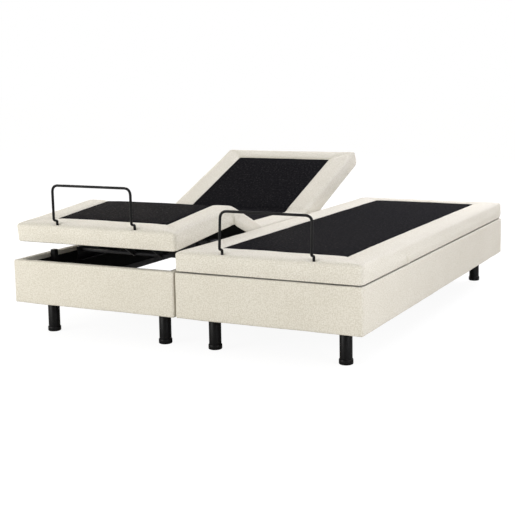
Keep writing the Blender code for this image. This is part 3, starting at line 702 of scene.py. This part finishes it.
def mitre_gap(flat, side_border, foot_border):
    """How far each flat point lies from the nearest mitre seam, beyond the panel corners."""
    panel_x = HALF_WIDTH - side_border
    x = np.abs(flat[:, 0])
    out = np.full(len(flat), 1.0)
    for end, border in ((FOOT_END, foot_border), (HEAD_END, HEAD_BORDER)):
        toward = math.copysign(1, end)
        run = (flat[:, 1] * toward - (abs(end) - border)) / border
        across = (x - panel_x) / side_border
        off = np.abs(run - across) * border * side_border / math.hypot(border, side_border)
        beyond = (run > -0.02) & (across > -0.02)
        out = np.where(beyond, np.minimum(out, off), out)
    return out


def panel_gap(flat, side_border, foot_border):
    """How far each flat point lies outside the panel seam; negative on the panel."""
    panel_x = HALF_WIDTH - side_border
    return np.maximum.reduce([
        np.abs(flat[:, 0]) - panel_x,
        (FOOT_END + foot_border) - flat[:, 1],
        flat[:, 1] - (HEAD_END - HEAD_BORDER),
    ])


def stuffed(mesh, flat, *borders):
    """Where the cover's points go as its padding presses out against the sewn seams."""
    from_seam = np.abs(panel_gap(flat, *borders))
    sewn = np.maximum(bell(from_seam, 0.004), bell(mitre_gap(flat, *borders), 0.004))
    stapled = 1 - np.clip((flat[:, 2] - (PAD_BOTTOM + 0.010)) / 0.012, 0, 1)
    hold = np.maximum(sewn, stapled)
    trial = bpy.data.objects.new("padding_trial", mesh.copy())
    bpy.context.scene.collection.objects.link(trial)
    group = trial.vertex_groups.new(name="held")
    for index in np.nonzero(hold > 0.02)[0]:
        group.add([int(index)], float(hold[index]), "REPLACE")
    cloth = trial.modifiers.new("Padding", "CLOTH")
    settings = cloth.settings
    settings.quality = 4
    settings.mass = 0.3
    settings.tension_stiffness = settings.compression_stiffness = 12
    settings.shear_stiffness = 5
    settings.bending_stiffness = 0.6
    settings.use_pressure = True
    settings.uniform_pressure_force = 4.0
    settings.effector_weights.gravity = 0.0
    settings.vertex_group_mass = "held"
    cloth.point_cache.frame_start, cloth.point_cache.frame_end = 1, CLOTH_FRAMES
    for step in range(1, CLOTH_FRAMES + 1):
        bpy.context.scene.frame_set(step)
    finished = trial.evaluated_get(bpy.context.evaluated_depsgraph_get())
    pressed = finished.to_mesh()
    points = np.empty(len(pressed.vertices) * 3)
    pressed.vertices.foreach_get("co", points)
    finished.to_mesh_clear()
    bpy.data.objects.remove(trial, do_unlink=True)
    bpy.context.scene.frame_set(1)
    move = points.reshape(-1, 3) - flat
    distance = np.linalg.norm(move, axis=1)[:, None] + 1e-9
    capped = PUFF_LIMIT * (1 - np.exp(-distance / PUFF_LIMIT))
    return flat + move * capped / distance


def between_walls(values, edges):
    """Which values lie between the outer edges of a recess."""
    margin = RECESS_WALL * 0.75
    return (values > edges[0] + margin) & (values < edges[-1] - margin)


def worked(flat, shape, normals, *borders):
    """The sewn and worn detail on the stuffed cover: seam grooves, mitres, dimples and creases."""
    gap, mitre = panel_gap(flat, *borders), mitre_gap(flat, *borders)
    on_top = np.clip((flat[:, 2] - (PAD_TOP - EDGE_RADIUS)) / EDGE_RADIUS, 0, 1)
    depth = 0.0030 * bell(gap, 0.0050) * on_top
    depth += 0.0018 * bell(mitre, 0.0050) * (gap > 0)
    panel = np.clip(-gap / 0.03, 0, 1)
    depth += 0.0012 * panel * on_top

    sides = np.clip((flat[:, 2] - PAD_BOTTOM) / 0.02, 0, 1)
    soft = smooth_noise(flat, 7.0, 1) * 0.0013 + smooth_noise(flat, 19.0, 2) * 0.0007
    soft += smooth_noise(flat * np.array([1.0, 2.2, 1.0]), 34.0, 3) * 0.0003
    calm = 1 - 0.85 * np.maximum(bell(flat[:, 1] - MID_THIGH, 0.03), bell(flat[:, 1] - MID_SEAT, 0.03))
    swell = soft * sides * calm * (1 - 0.4 * panel)

    # Pinched folds fan out on the side walls under the knee, and over the top at the two valleys
    half_turn = np.arctan2(flat[:, 1] - KNEE[0], flat[:, 2] - (PAD_BOTTOM - 0.012))
    fan = np.cos(half_turn * 9.0) * bell(flat[:, 1] - KNEE[0], 0.035)
    low = np.clip(1 - (flat[:, 2] - PAD_BOTTOM) / 0.062, 0, 1)
    beside = np.clip((np.abs(flat[:, 0]) - (HALF_WIDTH - 0.03)) / 0.02, 0, 1)
    swell += 0.0060 * fan * low * beside * (flat[:, 2] > PAD_BOTTOM + 0.004)
    for hinge, width in ((THIGH_HINGE, 0.020), (BACK_HINGE, 0.024)):
        offset = flat[:, 1] - hinge[0]
        ripple = np.cos(offset * 2 * math.pi / 0.026 + 0.8 * smooth_noise(flat, 16.0, 5))
        border = np.clip(gap / 0.02, 0, 1)
        swell -= (0.0016 * bell(offset, 0.012) + 0.0007 * ripple * bell(offset, width)) * border * on_top

    # The cloth is drawn in round the two bar sockets
    for side in (-1, 1):
        dx, dy = flat[:, 0] - side * SOCKET_X, flat[:, 1] - SOCKET_Y
        reach = np.sqrt((dx / 0.021) ** 2 + (dy / 0.011) ** 2)
        depth += 0.0075 * bell(reach, 1.0) * on_top
        swell += 0.0018 * bell(reach - 1.9, 0.7) * on_top

    out = shape + normals * (swell - depth)[:, None]
    recess = between_walls(np.abs(flat[:, 0]), RECESS_X) & between_walls(flat[:, 1], RECESS_Y)
    out[recess & (flat[:, 2] < PAD_BOTTOM + 0.001), 2] = BLOCK_HIGH.z + RECESS_HEIGHT
    # The facing sides of the two bases press almost flat, so that neither reaches past its own half
    over = np.abs(out[:, 0]) - HALF_WIDTH
    pressed = HALF_WIDTH + SIDE_PRESS * np.tanh(over / SIDE_PRESS)
    out[:, 0] = np.where(over > 0, np.sign(out[:, 0]) * pressed, out[:, 0])
    return out


def cover_shape(*borders):
    """The stuffed platform of one base in the flat layout: its mesh and its worked points."""
    bm = flat_slab(*borders)
    index = bm.verts.layers.int.new("point")
    for i, vert in enumerate(bm.verts):
        vert[index] = i
    mesh = bpy.data.meshes.new("flat_cover")
    bm.to_mesh(mesh)
    bm.free()
    flat = np.empty(len(mesh.vertices) * 3)
    mesh.vertices.foreach_get("co", flat)
    flat = flat.reshape(-1, 3)
    normals = np.empty(len(mesh.vertices) * 3)
    mesh.vertices.foreach_get("normal", normals)
    normals = normals.reshape(-1, 3)
    shape = stuffed(mesh, flat, *borders)
    return mesh, worked(flat, shape, normals, *borders)


def make_covers(stand):
    """The three cover pieces of one base, bent to where its sections stand."""
    borders = SIDE_BORDERS[stand.side], FOOT_BORDERS[stand.side]
    cover_mesh, worked_points = cover_shape(*borders)
    folds = folds_of(stand)
    line = np.zeros((4001, 3))
    line[:, 1] = np.linspace(FOOT_END - 0.1, HEAD_END + 0.1, len(line))
    line[:, 2] = PAD_TOP
    rest_line = np.empty_like(line)
    for _, low, high, fold in folds:
        here = (line[:, 1] >= low) & (line[:, 1] <= high)
        rest_line[here] = fold.bent(line[here])
    steps = np.linalg.norm(np.diff(rest_line, axis=0), axis=1)
    run = np.concatenate([[0.0], np.cumsum(np.minimum(steps, 0.01))]) + line[0, 1]

    def run_of(y):
        return float(np.interp(y, line[:, 1], run))

    pads = {
        "foot_and_thigh_cover": ("foot_pad", "thigh_pad"),
        "thigh_and_seat_cover": ("seat_pad",),
        "seat_and_back_cover": ("back_pad",),
    }
    for name, low, high, fold in folds:
        bm = bmesh.new()
        bm.from_mesh(cover_mesh)
        outside = [f for f in bm.faces if not low < f.calc_center_median().y < high]
        bmesh.ops.delete(bm, geom=outside, context="FACES")
        open_edges = [e for e in bm.edges if e.is_boundary]
        caps = bmesh.ops.holes_fill(bm, edges=open_edges, sides=0)["faces"]
        bmesh.ops.recalc_face_normals(bm, faces=bm.faces)
        for face in bm.faces:
            centre = face.calc_center_median()
            on_panel = centre.z > PAD_TOP - 0.002 and panel_gap(np.array([centre]), *borders)[0] < 0
            # The underside takes the black lining, and so do the lowest strips of the bottom rounding, as a
            # painted shadow line along the cover's lower edge.
            lined = centre.z < PAD_BOTTOM + SHADOW_GAP_HEIGHT
            face.material_index = 1 if on_panel else 2 if lined else 0
        for face in caps:
            face.material_index = 2
        lay_weave(bm, PAD_TOP, run_of)
        point = bm.verts.layers.int["point"]
        chosen = np.array([v[point] for v in bm.verts])
        rest = stand.placed(fold.bent(worked_points[chosen]))
        for vert, place in zip(bm.verts, rest):
            vert.co = place
        cover = add_piece(f"{stand.side}_{name}", bm, CREAM, GRIP, LINING, sharp=62.0)
        fold.hold(cover)
        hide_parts(*(f"{stand.side}_{pad}" for pad in pads[name]))
    bpy.data.meshes.remove(cover_mesh)


# ---------------------------------------------------------------- the upholstered boxes


def make_box_cover(stand):
    """Fabric drawn round the four boards of a box, over the rim, with the black lining inside."""
    inner_length = HEAD_END - BOARD_THICKNESS
    bm = bmesh.new()
    bmesh.ops.create_grid(bm, x_segments=1, y_segments=1, size=1.0)
    bmesh.ops.scale(bm, vec=(HALF_WIDTH, HEAD_END, 1), verts=bm.verts)
    bmesh.ops.translate(bm, vec=(0, 0, BOX_BOTTOM), verts=bm.verts)
    bmesh.ops.inset_region(
        bm, faces=list(bm.faces), thickness=BOARD_THICKNESS, use_even_offset=True, use_boundary=True
    )
    inner = min(bm.faces, key=lambda f: f.calc_center_median().xy.length)
    bmesh.ops.delete(bm, geom=[inner], context="FACES_ONLY")
    grown = bmesh.ops.extrude_face_region(bm, geom=list(bm.faces))
    lifted = [g for g in grown["geom"] if isinstance(g, bmesh.types.BMVert)]
    bmesh.ops.translate(bm, vec=(0, 0, RIM - BOX_BOTTOM), verts=lifted)
    bmesh.ops.recalc_face_normals(bm, faces=bm.faces)

    def outer(edge):
        middle = (edge.verts[0].co + edge.verts[1].co) / 2
        half_board = 0.5 * BOARD_THICKNESS
        return abs(middle.x) > HALF_WIDTH - half_board or abs(middle.y) > HEAD_END - half_board

    def beside_wall(edge):
        return any(abs(face.normal.z) < 0.1 for face in edge.link_faces)

    rounded(bm, [e for e in bm.edges if is_upright(e) and outer(e)], BOX_CORNER_RADIUS, 5)
    for height, radius in ((RIM, RIM_RADIUS), (BOX_BOTTOM, BOX_UNDER_RADIUS)):
        for outside, size, segments in ((True, radius, 4), (False, BOX_INNER_RADIUS, 2)):
            ring = [e for e in bm.edges if level_at(e, height) and outer(e) is outside and beside_wall(e)]
            rounded(bm, ring, size, segments)
    for y in spaced(FOOT_END, HEAD_END, BOX_GRID)[1:-1]:
        cut_across(bm, 1, y)
    for x in spaced(-HALF_WIDTH, HALF_WIDTH, BOX_GRID)[1:-1]:
        cut_across(bm, 0, x)
    wrap = RIM - WRAP_DEPTH
    for z in around(BOX_BOTTOM, BOX_LOOPS) + [wrap]:
        cut_across(bm, 2, z)

    def on_rim(centre):
        return centre.z > RIM - 0.001

    tack = INNER_HALF + TACK_OFFSET
    for side in (-1, 1):
        for offset in (-0.003, 0.0, 0.003):
            cut_across(bm, 0, side * (tack + offset), on_rim)
    tape_x, tape_y = INNER_HALF + TAPE_REACH, inner_length + TAPE_REACH
    cut_across(bm, 1, -tape_y, on_rim)

    for face in bm.faces:
        centre = face.calc_center_median()
        within = abs(centre.x) < INNER_HALF + 0.0005 and abs(centre.y) < inner_length + 0.0005
        taped = abs(centre.x) < tape_x and -tape_y < centre.y < TAPE_WIDTH - tape_y
        taped = taped or (tape_x > centre.x > INNER_HALF - 0.001 and abs(centre.y) < tape_y)
        lined = within and centre.z < wrap
        face.material_index = 1 if lined or (taped and centre.z > RIM - 0.02) else 0
    lay_weave(bm, RIM)

    verts = list(bm.verts)
    flat = np.array([v.co for v in verts])
    soft = smooth_noise(flat, 6.0, 11) * 0.0011 + smooth_noise(flat, 17.0, 12) * 0.0006
    # The rim's cloth is folded over and tacked along a line near the inside of the side boards
    at_rim = (flat[:, 2] > RIM - 0.0005) & (np.abs(flat[:, 1]) < HEAD_END - 0.030)
    tacked = 0.0035 * bell(np.abs(flat[:, 0]) - tack, 0.0028) * at_rim
    for vert, move, drop in zip(verts, soft, tacked):
        within = abs(vert.co.x) < INNER_HALF + 0.004 and abs(vert.co.y) < inner_length + 0.004
        if not within:
            vert.co += vert.normal * (move - 0.0006)
        vert.co.z -= drop
        vert.co.x += stand.x
    piece = add_piece(stand.side + "_box_upholstery", bm, CREAM_BOX, LINING, sharp=50.0)
    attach(piece, "boxes")
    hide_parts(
        *(f"{stand.side}_{board}" for board in
                 ("foot_board", "head_board", "left_side_board", "right_side_board"))
    )


def make_lining_bands(stand):
    """The grey fabric bands along the bottom inside of the side boards."""
    for side, word in ((-1, "left"), (1, "right")):
        bm = bmesh.new()
        bmesh.ops.create_cube(bm, size=1.0)
        size = (BAND_THICKNESS, 2 * (HEAD_END - BAND_SHORT), BAND_HEIGHT)
        bmesh.ops.scale(bm, vec=size, verts=bm.verts)
        rounded(bm, list(bm.edges), 0.0012, 2)
        for y in spaced(-HEAD_END + 0.2, HEAD_END - 0.2, 0.04):
            cut_across(bm, 1, y)
        for vert in bm.verts:
            vert.co.z += 0.0014 * noise.noise(Vector((0, vert.co.y * 9, side * 4)))
            vert.co += Vector((stand.x + side * (INNER_HALF - 0.0022), 0, BOX_BOTTOM + 0.0145))
        band = add_piece(f"{stand.side}_{word}_lining_band", bm, GREY_LINING)
        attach(band, "boxes")


# ---------------------------------------------------------------- legs and retainer bars


def spun(profile, steps=40):
    """A turned form about the Z axis, from a profile of radius and height that ends on the axis or closes."""
    bm = bmesh.new()
    verts = [bm.verts.new((radius, 0, height)) for radius, height in profile]
    edges = [bm.edges.new(pair) for pair in zip(verts, verts[1:])]
    bmesh.ops.spin(
        bm, geom=verts + edges, cent=(0, 0, 0), axis=(0, 0, 1),
        angle=2 * math.pi, steps=steps, use_merge=True,
    )
    bmesh.ops.remove_doubles(bm, verts=bm.verts, dist=1e-6)
    bmesh.ops.recalc_face_normals(bm, faces=bm.faces)
    return bm


def make_legs(stand):
    """Turned steel legs with a wider foot cap, and a narrow neck under the fixing flange at the top."""
    top = LEG_HIGH.z
    foot_cap = [
        (0, 0.0005), (0.020, 0.0005), (CAP_RADIUS - 0.0035, 0.001), (CAP_RADIUS - 0.001, 0.0025),
        (CAP_RADIUS, 0.005), (CAP_RADIUS, CAP_HEIGHT - 0.003), (CAP_RADIUS - 0.0008, CAP_HEIGHT - 0.0012),
    ]
    tube = [
        (LEG_RADIUS + 0.0012, CAP_HEIGHT), (LEG_RADIUS, CAP_HEIGHT + 0.0008), (LEG_RADIUS, top - 0.012),
        (LEG_RADIUS - 0.001, top - 0.010),
    ]
    neck = [(LEG_RADIUS - 0.004, top - 0.009), (LEG_RADIUS - 0.004, top - 0.005)]
    flange = [
        (CAP_RADIUS - 0.001, top - 0.0045), (CAP_RADIUS, top - 0.0035), (CAP_RADIUS, top - 0.0012),
        (CAP_RADIUS - 0.001, top - 0.0004), (0, top - 0.0004),
    ]
    profile = foot_cap + tube + neck + flange
    for end in ("foot", "head"):
        for hand in ("left", "right"):
            node = f"{stand.side}_{end}_{hand}_leg"
            low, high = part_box(node)
            bm = spun(profile)
            middle = (low + high) / 2
            bmesh.ops.translate(bm, vec=(middle.x, middle.y, 0), verts=bm.verts)
            leg = add_piece(node + "_turned", bm, SATIN_BLACK, sharp=40.0)
            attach(leg, "boxes")
            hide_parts(node)


def swept(name, path, radius, sides):
    """A round bar along a path of points, as one closed mesh."""
    curve = bpy.data.curves.new(name, "CURVE")
    curve.dimensions = "3D"
    curve.bevel_depth = radius
    curve.bevel_resolution = sides
    curve.use_fill_caps = True
    spline = curve.splines.new("POLY")
    spline.points.add(len(path) - 1)
    for point, place in zip(spline.points, path):
        point.co = (*place, 1)
    holder = bpy.data.objects.new(name, curve)
    bpy.context.scene.collection.objects.link(holder)
    bpy.context.view_layer.update()
    graph = bpy.context.evaluated_depsgraph_get()
    mesh = bpy.data.meshes.new_from_object(holder.evaluated_get(graph))
    bpy.data.objects.remove(holder, do_unlink=True)
    bm = bmesh.new()
    bm.from_mesh(mesh)
    bmesh.ops.remove_doubles(bm, verts=bm.verts, dist=1e-5)
    bmesh.ops.recalc_face_normals(bm, faces=bm.faces)
    return bm


def rounded_path(corners, radius, steps):
    """A path through corner points with each corner turned on an arc."""
    corners = [Vector(c) for c in corners]
    path = [corners[0]]
    for before, here, after in zip(corners, corners[1:], corners[2:]):
        into, out = (here - before), (after - here)
        bend = into.angle(out)
        reach = min(radius * math.tan(bend / 2), into.length * 0.49, out.length * 0.49)
        first, last = here - into.normalized() * reach, here + out.normalized() * reach
        for i in range(steps + 1):
            share = i / steps
            rest = 1 - share
            path.append(rest ** 2 * first + 2 * share * rest * here + share ** 2 * last)
    return path + [corners[-1]]


def make_retainer_bar(stand):
    """The wire bar, an upright U with a small jog above each socket, and the sleeves of its sockets."""
    upright, jog_low, jog_high = FOOT_END + 0.0065, PAD_TOP + 0.017, PAD_TOP + 0.024
    top, bottom = BAR_HIGH.z - BAR_RADIUS, BAR_LOW.z + 0.0005
    above_jog = (SOCKET_X, upright, jog_high)
    top_corner = (SOCKET_X, upright + BAR_LEAN, top)
    top_middle = (0, upright + BAR_LEAN, top)
    jog = [(SOCKET_X, SOCKET_Y, bottom), (SOCKET_X, SOCKET_Y, jog_low), above_jog, top_corner]
    foot = rounded_path(jog, 0.0075, 7)[:-1]
    corner = rounded_path([above_jog, top_corner, top_middle], 0.030, 12)[1:-1]
    right_half = foot + corner
    path = right_half + [Vector((-p.x, p.y, p.z)) for p in reversed(right_half)]
    placed = stand.onto_foot([tuple(p) for p in path])
    bar = add_piece(stand.side + "_retainer_bar_wire", swept("bar", placed, BAR_RADIUS, 7), SATIN_BLACK)
    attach(bar, stand.side + "_bar")
    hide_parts(stand.side + "_retainer_bar")

    sleeves = bmesh.new()
    for side in (-1, 1):
        ring = spun([
            (0.0068, -0.016), (0.0098, -0.016), (0.0104, -0.0035), (0.0118, -0.0022),
            (0.0122, -0.001), (0.0112, 0.0004), (0.0090, 0.0006), (0.0072, -0.0004),
            (0.0068, -0.002), (0.0068, -0.016),
        ], 28)
        bmesh.ops.translate(ring, vec=(side * SOCKET_X, SOCKET_Y, PAD_TOP - 0.0062), verts=ring.verts)
        part = bpy.data.meshes.new("sleeve")
        ring.to_mesh(part)
        ring.free()
        sleeves.from_mesh(part)
        bpy.data.meshes.remove(part)
    rest = stand.onto_foot([tuple(v.co) for v in sleeves.verts])
    for vert, place in zip(sleeves.verts, rest):
        vert.co = place
    sleeve_piece = add_piece(stand.side + "_bar_sleeves", sleeves, HOUSING, sharp=40.0)
    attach(sleeve_piece, stand.side + "_foot_section")


# ---------------------------------------------------------------- the lift gear


GEAR_FINISHES = {
    "leg_beam": WOOD, "bumper_block": RUBBER, "side_rail": GREY_COAT, "crossbar": GREY_COAT,
    "lift_frame": GREY_COAT, "foot_stay": GREY_COAT, "drive_rod": BRIGHT, "drive": HOUSING,
    "control_box": HOUSING, "coupler_plate": GREY_COAT,
}


def finish_gear():
    """Each CAD node that stays in view gets the finish of what it is made of."""
    for name, node in frame["nodes"].items():
        for ending, finish in GEAR_FINISHES.items():
            if name.endswith(ending):
                node.data.materials.clear()
                node.data.materials.append(finish)
                break


# ---------------------------------------------------------------- studio


def make_studio():
    """A pale floor that keeps only a faint shadow, an even bright surround and the softboxes."""
    floor_finish = Finish("pale_floor")
    seen = floor_finish.node("LightPath", output=0)
    plain = floor_finish.node("BsdfDiffuse", {"Color": (0.62, 0.61, 0.59, 1.0)})
    bright = floor_finish.node("Emission", {"Color": (1.0, 1.0, 1.0, 1.0), "Strength": 0.93})
    shaded = floor_finish.node("BsdfDiffuse", {"Color": (0.12, 0.12, 0.12, 1.0)})
    lit = floor_finish.node("AddShader", {0: bright, 1: shaded})
    floor_finish.node_output(floor_finish.node("MixShader", {0: seen, 1: plain, 2: lit}))
    bm = bmesh.new()
    bmesh.ops.create_grid(bm, x_segments=1, y_segments=1, size=40.0)
    floor = add_piece("studio_floor", bm, floor_finish.material)

    world = bpy.context.scene.world or bpy.data.worlds.new("studio")
    bpy.context.scene.world = world
    world.use_nodes = True
    tree = world.node_tree
    background = tree.nodes["Background"]
    background.inputs["Color"].default_value = (*SURROUND, 1.0)
    background.inputs["Strength"].default_value = SURROUND_STRENGTH
    backdrop = tree.nodes.new("ShaderNodeBackground")
    seen = tree.nodes.new("ShaderNodeLightPath")
    either = tree.nodes.new("ShaderNodeMixShader")
    tree.links.new(seen.outputs["Is Camera Ray"], either.inputs[0])
    tree.links.new(background.outputs[0], either.inputs[1])
    tree.links.new(backdrop.outputs[0], either.inputs[2])
    backdrop.inputs["Color"].default_value = (1.0, 1.0, 1.0, 1.0)
    tree.links.new(either.outputs[0], tree.nodes["World Output"].inputs["Surface"])

    for name, place, aim, size, watts, colour in SOFTBOXES:
        lamp = bpy.data.lights.new(name, "AREA")
        lamp.shape, lamp.size, lamp.size_y = "RECTANGLE", size[0], size[1]
        lamp.energy, lamp.color = watts, colour
        holder = bpy.data.objects.new(name, lamp)
        holder.location = place
        holder.visible_camera = False
        holder.rotation_mode = "QUATERNION"
        holder.rotation_quaternion = (Vector(aim) - Vector(place)).to_track_quat("-Z", "Y")
        bpy.context.scene.collection.objects.link(holder)

    bpy.context.scene.view_settings.view_transform = "Standard"


def make_camera():
    yaw, pitch, roll = map(math.radians, CAMERA_TURN)
    level = Vector((-math.sin(yaw), math.cos(yaw), 0))
    ahead = level * math.cos(pitch) - Vector((0, 0, math.sin(pitch)))
    right = Vector((math.cos(yaw), math.sin(yaw), 0))
    down = ahead.cross(right)
    tilted_right = math.cos(roll) * right + math.sin(roll) * down
    tilted_down = -math.sin(roll) * right + math.cos(roll) * down
    turn = Matrix((tilted_right, -tilted_down, -ahead)).transposed()
    lens = bpy.data.cameras.new("camera")
    lens.lens, lens.sensor_width = LENS, SENSOR_WIDTH
    lens.shift_x, lens.shift_y = LENS_SHIFT
    lens.clip_start, lens.clip_end = 0.1, 200.0
    camera = bpy.data.objects.new("camera", lens)
    camera.matrix_world = Matrix.Translation(CAMERA_PLACE) @ turn.to_4x4()
    bpy.context.scene.collection.objects.link(camera)
    bpy.context.scene.camera = camera


make_camera()
make_studio()
finish_gear()
for name, x in (("left", -PITCH), ("right", PITCH)):
    base = Stand(name, x)
    make_covers(base)
    make_box_cover(base)
    make_lining_bands(base)
    make_legs(base)
    make_retainer_bar(base)
